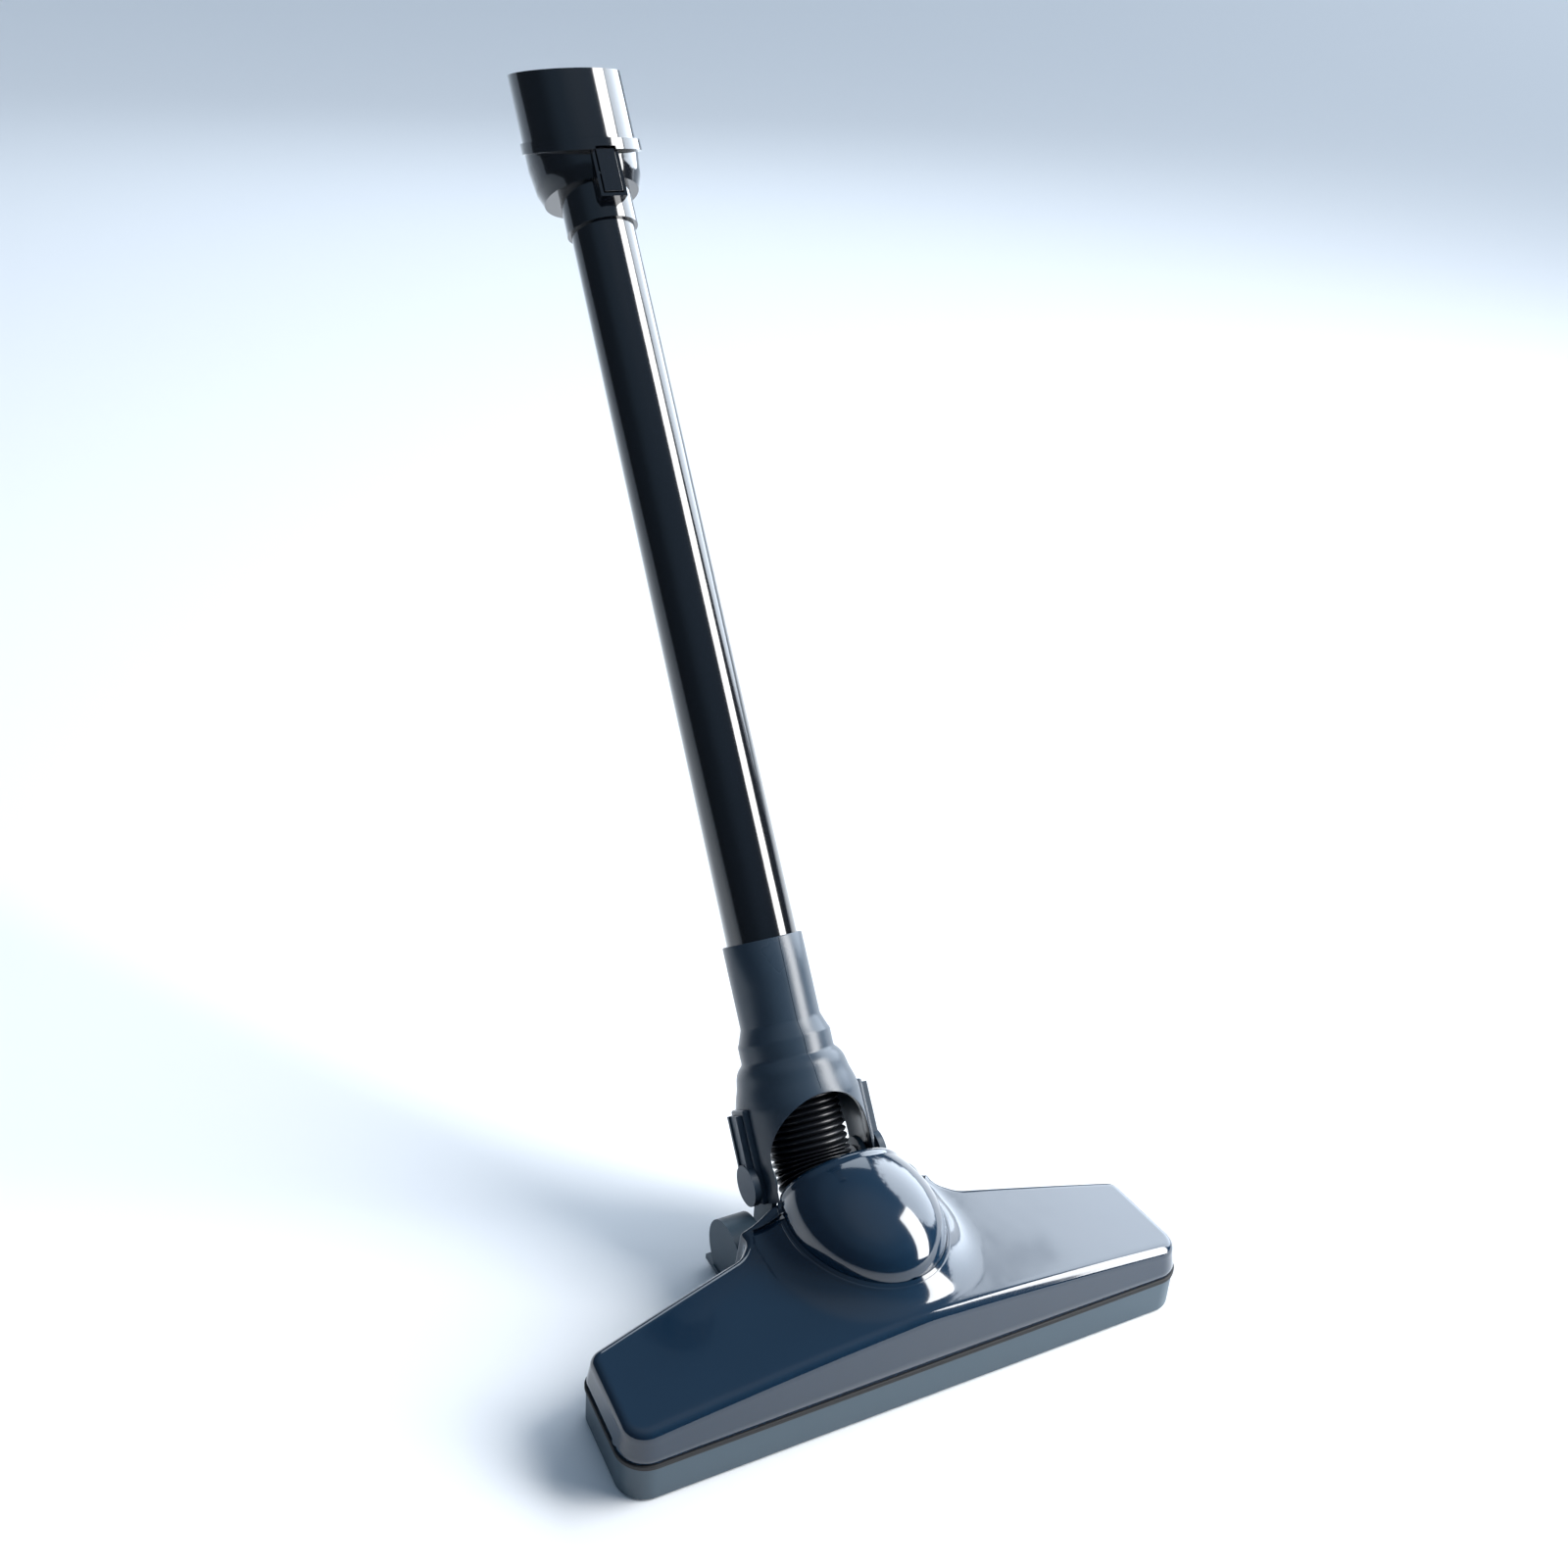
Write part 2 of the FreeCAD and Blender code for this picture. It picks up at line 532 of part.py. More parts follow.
def makeBellows():
    """Flexible hose that bends between the outlet pipe and the neck, with two rings that grip it."""
    rise = value("outletRise")
    turn = value("90 - lean") - rise
    pivot = FreeCAD.Vector(0, value("pivotBack"), value("pivotHigh"))
    into = FreeCAD.Vector(0, value("cos(outletRise)"), value("sin(outletRise)"))
    away = FreeCAD.Vector(0, value("sin(lean)"), value("cos(lean)"))
    tangent = value("bendRadius") * value(f"tan({turn} / 2)")
    start = pivot - into * value("bellowsLow")
    first = pivot - into * tangent
    last = pivot + away * tangent
    end = pivot + away * value("bellowsTop")
    toCentre = (away - into).normalize()
    middle = pivot + toCentre * (value("bendRadius") / value(f"cos({turn} / 2)") - value("bendRadius"))
    spine = Part.Wire([Part.LineSegment(start, first).toShape(), Part.Arc(first, middle, last).toShape(),
                       Part.LineSegment(last, end).toShape()])

    def hose(radius):
        rim = Part.Wire([Part.makeCircle(radius, start, into)])
        return spine.makePipeShell([rim], True, True)

    outer = hose(value("bellowsOuter"))
    inner = hose(value("bellowsOuter - bellowsWall"))
    feature = doc.addObject("Part::Feature", "bellows")
    feature.Shape = outer.cut(inner)
    keep(feature, "bellows", "head")
    area = value("3.14159265 * (bellowsOuter^2 - (bellowsOuter - bellowsWall)^2)")
    print("bellows volume over section times length:", round(feature.Shape.Volume / (area * spine.Length), 4))
    cuff = cut("cuff",
               outletRod("cuff_out", "bellowsOuter + fitGap + cuffThick", "cuffStart + cuffWide", "cuffStart"),
               outletRod("cuff_in", "bellowsOuter + fitGap", "cuffStart + cuffWide + 1", "cuffStart - 1"))
    keep(cuff, "duct_cuff", "head")
    inside = "bellowsOuter - bellowsWall - ringGap"
    keep(turned("neck_ring", [(inside, "bellowsTop - ringWide"), (inside, "bellowsTop"),
                              (f"{inside} - ringThick", "bellowsTop"),
                              (f"{inside} - ringThick", "bellowsTop - ringWide")]), "neck_ring", "neck")


def makeNeck():
    """One moulding: socket, two stepped flares, and a body with an arched window."""
    skin = turned("neck_turned", [
        ("neckRadius", "-neckLow"), ("neckRadius", "neckShoulder"), ("beltRadius", "beltHigh"),
        ("bandRadius", "bandLow"), ("bandRadius", "bandHigh"), ("socketRadius", "socketFoot"),
        ("socketRadius", "socketRim"), ("wandRadius + runGap", "socketRim"), ("wandRadius + runGap", "wandFoot - 0.5"),
        ("outletRadius", "wandFoot - 0.5"), ("outletRadius", "bellowsTop + 0.5"),
        ("bellowsOuter + fitGap", "bellowsTop + 0.5"), ("bellowsOuter + fitGap", "bandLow"),
        ("beltRadius - neckWall", "beltHigh"), ("neckRadius - neckWall", "neckShoulder"),
        ("neckRadius - neckWall", "-neckLow"),
    ])
    lugs = []
    for side in (-1, 1):
        low = "-neckRadius - lugProud" if side < 0 else "neckRadius - neckWall + 0.4"
        high = "-neckRadius + neckWall - 0.4" if side < 0 else "neckRadius + lugProud"
        lugs.append(box("lug", (low, high), ("-lugHalf", "lugHalf"), ("-neckLow", "lugTop")))
    tools = [
        rod("window_arch", "windowRadius", "50", (0, "-50", "windowHigh"), "Y"),
        box("window_leg", ("-windowRadius", "windowRadius"), ("-50", "0"), ("-neckLow - 1", "windowHigh")),
        box("rear_cut", ("-40", "40"), ("rearLug", "50"), ("-neckLow - 1", "rearCut")),
        rod("pin_hole", "pinRadius + pinHole", "80", ("-40", 0, 0), "X"),
        cut("seal_groove", rod("seal_out", "wandRadius + sealDepth", "sealWide", (0, 0, "sealLow")),
            rod("seal_in", "wandRadius - 1", "sealWide", (0, 0, "sealLow"))),
    ]
    keep(cut("neck_final", fuse("neck_all", skin, *lugs), *tools), "neck_socket", "neck")
    keep(turned("wand_seal", [
        ("wandRadius + runGap", "sealLow + 0.2"), ("wandRadius + sealDepth - 0.05", "sealLow + 0.2"),
        ("wandRadius + sealDepth - 0.05", "sealLow + sealWide - 0.2"),
        ("wandRadius + runGap", "sealLow + sealWide - 0.2")]), "wand_seal", "neck")


def makePivotClips():
    """A disc with its tilt pin and a ribbed strap up the side of the neck."""
    for side, label in ((-1, "pivot_clip_left"), (1, "pivot_clip_right")):
        face = "neckRadius + lugProud + clipGap"

        def span(near, far):
            return (f"-({far})", f"-({near})") if side < 0 else (near, far)

        disc = rodBetween("clip_disc", "clipDisc", *span(face, f"{face} + clipThick"), (0, 0))
        pin = rodBetween("clip_pin", "pinRadius", *span("earOuter - earThick - 0.5", f"{face} + 0.5"), (0, 0))
        strap = box("clip_strap", span(face, f"{face} + strapThick"), ("-strapHalf", "strapHalf"), ("0", "strapTop"))
        ribs = []
        for low, high in (("-strapHalf", "-strapHalf + ribWide"), ("strapHalf - ribWide", "strapHalf")):
            ribs.append(box("clip_rib", span(face, f"{face} + strapThick + ribThick"), (low, high), ("0", "strapTop")))
        keep(fuse("clip", disc, pin, strap, *ribs), label, "neck")


def hookSlot(name):
    """Window through the sleeve and the wand for the latch's hook."""
    return box(name, ("-hookHalf - hookRoom", "hookHalf + hookRoom"), ("-pocketFloor - 1", "-hookTip + 3"),
               ("latchLow + pocketEdge", "hookAt + hookTall / 2 + 1.2"))


def makeWand():
    tube = turned("wand", [
        ("wandRadius", "wandFoot"), ("wandRadius", "socketRim"), ("wandTopRadius", "taperEnd"),
        ("wandTopRadius", "wandTop"), ("wandTopRadius - wandWall", "wandTop"),
        ("wandTopRadius - wandWall", "taperEnd"), ("wandRadius - wandWall", "socketRim"),
        ("wandRadius - wandWall", "wandFoot")])
    keep(cut("wand_slotted", tube, hookSlot("wand_slot")), "wand", "neck")


# ---------------------------------------------------------------- adapter at the top of the wand

def ringLoft(name, rings):
    """Skin through level circles, each a height, a radius and a shift to the rear."""
    loft = fresh("Part::Loft", name)
    sections = []
    for height, radius, shift in rings:
        ring = fresh("Part::Circle", name + "_ring")
        tie(ring, Radius=radius)
        sections.append(moveTo(ring, 0, shift, height))
    loft.Sections = sections
    loft.Solid = True
    loft.Ruled = True
    return loft


def slanted(thing, height):
    """Tilt a thing towards the front and set it on the cup's axis at a height."""
    thing.Placement = FreeCAD.Placement(FreeCAD.Vector(), FreeCAD.Rotation(FreeCAD.Vector(1, 0, 0), 1))
    moveTo(thing, 0, "cupShift", height)
    thing.setExpression("Placement.Rotation.Angle", bound("rimSlant"))
    return thing


def mouthCut():
    """Everything above the slanted mouth, as one wide rod."""
    return slanted(rod("mouth_cut", "3 * cupRadius", "3 * cupRadius"), "rimAt")


def bead():
    """Band parallel to the mouth, proudest in front."""
    band = rod("bead_band", "cupRadius + beadProud", "4 * cupRadius",
               (0, "cupShift - beadShift", "beadAt - 2 * cupRadius"))
    slab = slanted(rod("bead_slab", "3 * cupRadius", "beadTall"), "beadAt - beadTall / 2")
    return common("bead", band, slab)


def latchBlock(name, low, high, half, inner, outer):
    return box(name, (f"-({half})", half), (f"-({outer})", f"-({inner})"), (low, high))


def makeAdapter():
    sleeve = rod("sleeve", "sleeveRadius", "shelfAt + 1 - sleeveLow", (0, 0, "sleeveLow"))
    housing = ringLoft("housing", [("shelfAt", "housingRadius", "housingShift"),
                                   ("shoulderAt", "shoulderRadius", "(housingShift + cupShift) / 2"),
                                   ("cupStart", "cupRadius", "cupShift")])
    cup = rod("cup", "cupRadius", "rimAt + cupRadius - cupStart", (0, "cupShift", "cupStart"))
    boss = latchBlock("latch_boss", "latchLow", "latchHigh", "latchHalf", "12", "latchOut")
    whole = fuse("adapter_all", sleeve, housing, cup, boss, bead())
    bore = rod("sleeve_bore", "wandTopRadius + runGap", "wandTop + 0.4 - sleeveLow + 1",
               (0, 0, "sleeveLow - 1"))
    ledge = rod("sleeve_ledge", "wandTopRadius - wandWall - 0.3", "6", (0, 0, "wandTop"))
    inside = ringLoft("throat_air", [("wandTop + sleeveFloor", "throatRadius", "throatShift"),
                                     ("cupBore", "cupRadius - cupWall", "cupShift")])
    cupAir = rod("cup_air", "cupRadius - cupWall", "rimAt + cupRadius - cupBore", (0, "cupShift", "cupBore"))
    pocket = latchBlock("latch_pocket", "latchLow + pocketEdge", "pocketHigh", "latchHalf - pocketEdge",
                        "pocketFloor", "latchOut + 5")
    rocker = ("-rockerOut", "(latchLow + pocketHigh) / 2")
    pinHole = rodBetween("latch_pin_hole", "rockerPin", "-latchHalf + 0.5", "latchHalf - 0.5", rocker)
    keep(cut("adapter", whole, cupAir, inside, ledge, bore, pocket, pinHole, hookSlot("adapter_slot"),
             mouthCut()), "adapter", "neck")
    edge = "(pocketEdge + buttonGap)"
    top = latchBlock("button_top", f"latchLow + {edge}", "pocketHigh - buttonGap", f"latchHalf - {edge}",
                     "buttonBack", "latchOut + buttonProud")
    hook = latchBlock("button_hook", "hookAt - hookTall / 2", "hookAt + hookTall / 2", "hookHalf",
                      "hookTip", "buttonBack + 0.5")
    pinBore = rodBetween("button_bore", "rockerPin + runGap", "-latchHalf", "latchHalf", rocker)
    keep(cut("button", fuse("button_all", top, hook), pinBore), "latch_button", "neck")
    pin = rodBetween("latch_pin_rod", "rockerPin", "-latchHalf + 0.5", "latchHalf - 0.5", rocker)
    keep(fuse("latch_pin", pin, rodBetween("latch_pin_core", "rockerPin / 2", "-1", "1", rocker)),
         "latch_pin", "neck")
    spring = cut("spring", rod("spring_out", "springRadius", "buttonBack - pocketFloor - 0.1",
                               (0, "-buttonBack + 0.05", "springAt"), "Y"),
                 rod("spring_in", "springRadius - 1", "buttonBack - pocketFloor + 2",
                     (0, "-buttonBack - 1", "springAt"), "Y"))
    keep(spring, "latch_spring", "neck")


def makeWheels():
    for side, name in ((-1, "left"), (1, "right")):
        centre = f"{side} * wheelPlace"
        low = f"{centre} - wheelWidth / 2"
        high = f"{centre} + wheelWidth / 2"
        at = ("wheelBack", "wheelRadius")
        hub = cut("hub", rodBetween("hub_out", "wheelRadius - tyreDepth", low, high, at),
                  rodBetween("hub_bore", "axleRadius + runGap", f"{low} - 1", f"{high} + 1", at))
        keep(hub, f"wheel_{name}", "head")
        tyre = cut("tyre", rodBetween("tyre_out", "wheelRadius", f"{low} + 0.4", f"{high} - 0.4", at),
                   rodBetween("tyre_in", "wheelRadius - tyreDepth", low, high, at))
        keep(tyre, f"tyre_{name}", "head")
        axle = rodBetween("axle", "axleRadius", f"{low} - sideGap - fenderWall + axleSkin",
                          f"{high} + sideGap + fenderWall - axleSkin", at)
        keep(fuse("axle", axle, rodBetween("axle_core", "axleRadius - 0.5", f"{low} - 1", f"{high} + 1", at)),
             f"axle_{name}", "head")


def checkAndExport():
    doc.recompute()
    faults = [item.Label for item in doc.Objects if set(item.State) & {"Invalid", "Error"}]
    for label, thing in pieces.items():
        shape = thing.Shape
        if shape.isNull() or not shape.isValid() or not shape.Solids:
            faults.append(f"{label} has no sound solid")
    if faults:
        sys.exit("model faults: " + ", ".join(faults))
    os.makedirs("parts", exist_ok=True)
    for label, thing in pieces.items():
        thing.Shape.exportStep(f"parts/{label}.step")
        size = thing.Shape.BoundBox
        print(f"{label:18s} solids {len(thing.Shape.Solids)} volume {thing.Shape.Volume:10.1f} "
              f"X {size.XMin:7.1f} {size.XMax:7.1f} Y {size.YMin:7.1f} {size.YMax:7.1f} "
              f"Z {size.ZMin:7.1f} {size.ZMax:7.1f}")


fillSheet()
makeUpperShell()
makeDuctCover()
makeBumperStrip()
makeBaseBody()
makeSolePlate()
makeSoleFurniture()
makeAirDuct()
makeBellows()
makeNeck()
makePivotClips()
makeWand()
makeAdapter()
makeWheels()
checkAndExport()
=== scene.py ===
import json
import math

import bmesh
import bpy
from mathutils import Matrix, Vector


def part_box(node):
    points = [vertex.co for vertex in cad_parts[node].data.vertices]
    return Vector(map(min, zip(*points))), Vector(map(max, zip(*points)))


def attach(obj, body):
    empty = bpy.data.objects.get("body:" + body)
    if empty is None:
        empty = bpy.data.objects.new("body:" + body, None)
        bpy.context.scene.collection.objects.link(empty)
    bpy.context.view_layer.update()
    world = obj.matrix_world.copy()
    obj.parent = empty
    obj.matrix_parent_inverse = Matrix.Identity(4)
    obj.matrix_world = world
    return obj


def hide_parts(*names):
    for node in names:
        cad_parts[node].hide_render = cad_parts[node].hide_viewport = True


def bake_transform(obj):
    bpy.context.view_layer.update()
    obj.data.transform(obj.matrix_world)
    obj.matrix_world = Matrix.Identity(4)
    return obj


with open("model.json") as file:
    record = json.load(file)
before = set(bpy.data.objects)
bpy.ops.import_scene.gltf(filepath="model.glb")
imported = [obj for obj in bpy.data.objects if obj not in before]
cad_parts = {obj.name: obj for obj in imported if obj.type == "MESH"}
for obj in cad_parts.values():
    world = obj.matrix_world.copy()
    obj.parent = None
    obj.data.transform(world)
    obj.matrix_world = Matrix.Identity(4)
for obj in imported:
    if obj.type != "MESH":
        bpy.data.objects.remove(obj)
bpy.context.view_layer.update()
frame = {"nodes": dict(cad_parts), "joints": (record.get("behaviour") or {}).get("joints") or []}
mm = 0.001
joints = {joint["name"]: joint for joint in frame["joints"]}
pivot = Vector(joints["neck_tilt"]["pos_m"])
wandAxis = Vector(joints["wand_twist"]["axis"])
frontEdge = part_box("bumper_strip")[0].y
print("frame loaded")


def newObject(name, mesh, material, smooth=35):
    piece = bpy.data.objects.new(name, mesh)
    bpy.context.scene.collection.objects.link(piece)
    mesh.materials.append(material)
    for polygon in mesh.polygons:
        polygon.use_smooth = True
    if smooth:
        mesh.set_sharp_from_angle(angle=math.radians(smooth))
    return piece


def meshFrom(build, name):
    bm = bmesh.new()
    build(bm)
    bmesh.ops.recalc_face_normals(bm, faces=bm.faces)
    mesh = bpy.data.meshes.new(name)
    bm.to_mesh(mesh)
    bm.free()
    return mesh


def gridMesh(rows, closed=False, capStart=False, capEnd=False):
    # faces through rows of points that all have the same count; closed rows wrap round
    def build(bm):
        made = [[bm.verts.new(point) for point in row] for row in rows]
        count = len(rows[0])
        steps = count if closed else count - 1
        for low, high in zip(made, made[1:]):
            for index in range(steps):
                following = (index + 1) % count
                bm.faces.new((low[index], low[following], high[following], high[index]))
        if capStart:
            bm.faces.new(made[0])
        if capEnd:
            bm.faces.new(list(reversed(made[-1])))
    return build


def settle(piece):
    # bake an object's modifiers into its mesh
    graph = bpy.context.evaluated_depsgraph_get()
    baked = bpy.data.meshes.new_from_object(piece.evaluated_get(graph))
    piece.modifiers.clear()
    piece.data = baked
    return piece


def thicken(piece, thickness):
    wall = piece.modifiers.new("wall", "SOLIDIFY")
    wall.thickness = thickness
    wall.offset = -1
    wall.use_even_offset = False
    return settle(piece)


def subtract(piece, *cutters):
    for cutter in cutters:
        carve = piece.modifiers.new("carve", "BOOLEAN")
        carve.operation = "DIFFERENCE"
        carve.solver = "EXACT"
        carve.object = cutter
    settle(piece)
    for cutter in cutters:
        bpy.data.objects.remove(cutter)
    return piece


def soften(piece, width, angle=40, segments=3):
    # small rounded edges on everything sharper than the angle
    bevel = piece.modifiers.new("edge", "BEVEL")
    bevel.width = width
    bevel.segments = segments
    bevel.limit_method = "ANGLE"
    bevel.angle_limit = math.radians(angle)
    bevel.harden_normals = False
    return bevel


def softenNode(name, width, angle=40, segments=2):
    # rounded edges over a CAD node, whose own mesh stays as packed
    node = frame["nodes"][name]
    weld = node.modifiers.new("weld", "WELD")
    weld.merge_threshold = 0.00001
    soften(node, width, angle, segments)
    smooth = node.modifiers.new("even", "WEIGHTED_NORMAL")
    smooth.keep_sharp = False
    return node


def blockBetween(bm, low, high):
    middle = (Vector(low) + Vector(high)) / 2
    size = Vector(high) - Vector(low)
    matrix = Matrix.Translation(middle) @ Matrix.Diagonal((*size, 1))
    return bmesh.ops.create_cube(bm, size=1, matrix=matrix)["verts"]


def smoothLine(points, steps):
    # points along a soft curve through the given ones
    result = []
    ends = [points[0]] + list(points) + [points[-1]]
    for first, second, third, fourth in zip(ends, ends[1:], ends[2:], ends[3:]):
        for step in range(steps):
            t = step / steps
            result.append(tuple(
                0.5 * (2 * b + (c - a) * t + (2 * a - 5 * b + 4 * c - d) * t * t
                       + (3 * b - a - 3 * c + d) * t ** 3)
                for a, b, c, d in zip(first, second, third, fourth)))
    result.append(tuple(points[-1]))
    return result


def socketGroup(name, inputs, outputs):
    group = bpy.data.node_groups.new(name, "ShaderNodeTree")
    for label, kind, default in inputs:
        socket = group.interface.new_socket(label, in_out="INPUT", socket_type=kind)
        socket.default_value = default
    for label, kind in outputs:
        group.interface.new_socket(label, in_out="OUTPUT", socket_type=kind)
    return group, group.nodes.new("NodeGroupInput"), group.nodes.new("NodeGroupOutput")


def makeGrainGroup():
    # moulded-plastic surface: cloudy tone, fine grain and faint rubbed marks
    group, inside, outside = socketGroup(
        "moulded_surface",
        [("Base", "NodeSocketColor", (0.1, 0.1, 0.1, 1)), ("Tone", "NodeSocketFloat", 0.2),
         ("Roughness", "NodeSocketFloat", 0.3), ("Spread", "NodeSocketFloat", 0.1),
         ("Grain", "NodeSocketFloat", 900.0), ("Height", "NodeSocketFloat", 0.1)],
        [("Color", "NodeSocketColor"), ("Roughness", "NodeSocketFloat"), ("Normal", "NodeSocketVector")])
    nodes, links = group.nodes, group.links
    place = nodes.new("ShaderNodeTexCoord")
    cloud = nodes.new("ShaderNodeTexNoise")
    cloud.inputs["Scale"].default_value = 14
    cloud.inputs["Detail"].default_value = 5
    links.new(place.outputs["Object"], cloud.inputs["Vector"])
    fine = nodes.new("ShaderNodeTexNoise")
    fine.inputs["Detail"].default_value = 3
    links.new(place.outputs["Object"], fine.inputs["Vector"])
    links.new(inside.outputs["Grain"], fine.inputs["Scale"])
    wave = nodes.new("ShaderNodeTexNoise")
    wave.inputs["Scale"].default_value = 55
    wave.inputs["Detail"].default_value = 1.5
    links.new(place.outputs["Object"], wave.inputs["Vector"])

    shade = nodes.new("ShaderNodeMapRange")
    shade.inputs["To Min"].default_value = 0.7
    shade.inputs["To Max"].default_value = 1.35
    links.new(cloud.outputs["Fac"], shade.inputs["Value"])
    tinted = nodes.new("ShaderNodeVectorMath")
    tinted.operation = "SCALE"
    links.new(inside.outputs["Base"], tinted.inputs[0])
    links.new(shade.outputs["Result"], tinted.inputs["Scale"])
    mix = nodes.new("ShaderNodeMix")
    mix.data_type = "RGBA"
    links.new(inside.outputs["Tone"], mix.inputs["Factor"])
    links.new(inside.outputs["Base"], mix.inputs["A"])
    links.new(tinted.outputs["Vector"], mix.inputs["B"])
    links.new(mix.outputs["Result"], outside.inputs["Color"])

    centred = nodes.new("ShaderNodeMath")
    centred.operation = "SUBTRACT"
    centred.inputs[1].default_value = 0.5
    links.new(cloud.outputs["Fac"], centred.inputs[0])
    swing = nodes.new("ShaderNodeMath")
    swing.operation = "MULTIPLY_ADD"
    links.new(centred.outputs["Value"], swing.inputs[0])
    links.new(inside.outputs["Spread"], swing.inputs[1])
    links.new(inside.outputs["Roughness"], swing.inputs[2])
    links.new(swing.outputs["Value"], outside.inputs["Roughness"])

    slow = nodes.new("ShaderNodeBump")
    slow.inputs["Strength"].default_value = 0.05
    slow.inputs["Distance"].default_value = 0.002
    links.new(wave.outputs["Fac"], slow.inputs["Height"])
    quick = nodes.new("ShaderNodeBump")
    quick.inputs["Distance"].default_value = 0.0002
    links.new(inside.outputs["Height"], quick.inputs["Strength"])
    links.new(fine.outputs["Fac"], quick.inputs["Height"])
    links.new(slow.outputs["Normal"], quick.inputs["Normal"])
    links.new(quick.outputs["Normal"], outside.inputs["Normal"])
    return group


grainGroup = makeGrainGroup()


def moulded(name, color, tone=0.3, roughness=0.3, spread=0.15, grain=900, height=0.1, coat=0.0, metal=0.0,
            specular=0.5):
    material = bpy.data.materials.new(name)
    material.use_nodes = True
    nodes, links = material.node_tree.nodes, material.node_tree.links
    shader = nodes["Principled BSDF"]
    group = nodes.new("ShaderNodeGroup")
    group.node_tree = grainGroup
    for label, number in (("Base", (*color, 1)), ("Tone", tone), ("Roughness", roughness), ("Spread", spread),
                          ("Grain", grain), ("Height", height)):
        group.inputs[label].default_value = number
    links.new(group.outputs["Color"], shader.inputs["Base Color"])
    links.new(group.outputs["Roughness"], shader.inputs["Roughness"])
    links.new(group.outputs["Normal"], shader.inputs["Normal"])
    shader.inputs["Coat Weight"].default_value = coat
    shader.inputs["Coat Roughness"].default_value = 0.04
    shader.inputs["Metallic"].default_value = metal
    shader.inputs["Specular IOR Level"].default_value = specular
    return material


def woven(name, color, grain, depth, sheen):
    # short pile or bristle: streaky tone, high sheen and a coarse bump
    material = moulded(name, color, tone=0.8, roughness=0.85, spread=0.2, grain=grain, height=depth)
    shader = material.node_tree.nodes["Principled BSDF"]
    shader.inputs["Sheen Weight"].default_value = sheen
    shader.inputs["Sheen Roughness"].default_value = 0.4
    return material


glossNavy = moulded("gloss_navy", (0.004, 0.017, 0.037), tone=0.5, roughness=0.12, spread=0.08, grain=1500,
                    height=0.02, coat=0.6)
satinSlate = moulded("satin_slate", (0.024, 0.04, 0.06), tone=0.4, roughness=0.3, spread=0.14, grain=2200,
                     height=0.16)
baseSlate = moulded("base_slate", (0.045, 0.075, 0.1), tone=0.4, roughness=0.42, spread=0.16, grain=2200,
                    height=0.2)
glossBlack = moulded("gloss_black", (0.0012, 0.0016, 0.003), tone=0.5, roughness=0.14, spread=0.06, grain=1200,
                     height=0.015, coat=0.9)
softBlack = moulded("soft_black", (0.006, 0.006, 0.007), tone=0.5, roughness=0.62, spread=0.2, grain=1800,
                    height=0.3)
bellowsBlack = moulded("bellows_black", (0.004, 0.005, 0.007), tone=0.5, roughness=0.3, spread=0.2, grain=900,
                       height=0.15)
ductBlack = moulded("duct_black", (0.012, 0.013, 0.016), tone=0.4, roughness=0.5, spread=0.2, grain=1500,
                    height=0.25)
soleGrey = moulded("sole_grey", (0.035, 0.045, 0.055), tone=0.6, roughness=0.48, spread=0.25, grain=1300,
                   height=0.4)
wheelGrey = moulded("wheel_grey", (0.07, 0.08, 0.095), tone=0.5, roughness=0.45, spread=0.2, grain=1500,
                    height=0.2)
turnedSteel = moulded("turned_steel", (0.42, 0.43, 0.45), tone=0.4, roughness=0.28, spread=0.2, grain=2500,
                      height=0.15, metal=1.0)
bristleBlack = woven("bristle_black", (0.012, 0.012, 0.013), 2600, 0.5, 0.3)
lintRed = woven("lint_red", (0.22, 0.012, 0.014), 2400, 0.8, 0.6)

nodeMaterials = {
    "upper_shell": glossNavy, "duct_cover": glossNavy, "bumper_strip": softBlack, "base_body": baseSlate,
    "sole_plate": soleGrey, "front_bristles": bristleBlack, "rear_bristles": bristleBlack,
    "lint_pad_left": lintRed, "lint_pad_right": lintRed, "sole_screws": turnedSteel, "air_duct": ductBlack,
    "duct_gasket": softBlack, "bellows": bellowsBlack, "duct_cuff": ductBlack, "neck_ring": ductBlack,
    "neck_socket": satinSlate, "wand_seal": softBlack, "pivot_clip_left": satinSlate,
    "pivot_clip_right": satinSlate, "wand": glossBlack, "adapter": glossBlack, "latch_button": glossBlack,
    "latch_pin": turnedSteel, "latch_spring": turnedSteel, "wheel_left": wheelGrey, "wheel_right": wheelGrey,
    "tyre_left": softBlack, "tyre_right": softBlack, "axle_left": turnedSteel, "axle_right": turnedSteel,
}
for nodeName, material in nodeMaterials.items():
    mesh = frame["nodes"][nodeName].data
    mesh.materials.clear()
    mesh.materials.append(material)
print("materials made")


plan = {"half": 135, "endBack": 132.4, "endDepth": 53.3, "humpHalf": 55.4, "humpBack": 71.3, "tailHalf": 50,
        "tailStart": 77, "rear": 85, "cornerFront": 13, "cornerBack": 9, "cornerHump": 8, "cornerTail": 4,
        "spacing": 4.5}


def planCorners():
    right = [
        (plan["half"], 0, plan["cornerFront"], 14),
        (plan["endBack"], plan["endDepth"], plan["cornerBack"], 12),
        (plan["humpHalf"], plan["humpBack"], plan["cornerHump"], 6),
        (plan["tailHalf"], plan["tailStart"], plan["cornerTail"], 4),
        (plan["tailHalf"], plan["rear"], plan["cornerTail"], 6),
    ]
    return right + [(-x, y, radius, steps) for x, y, radius, steps in reversed(right)]


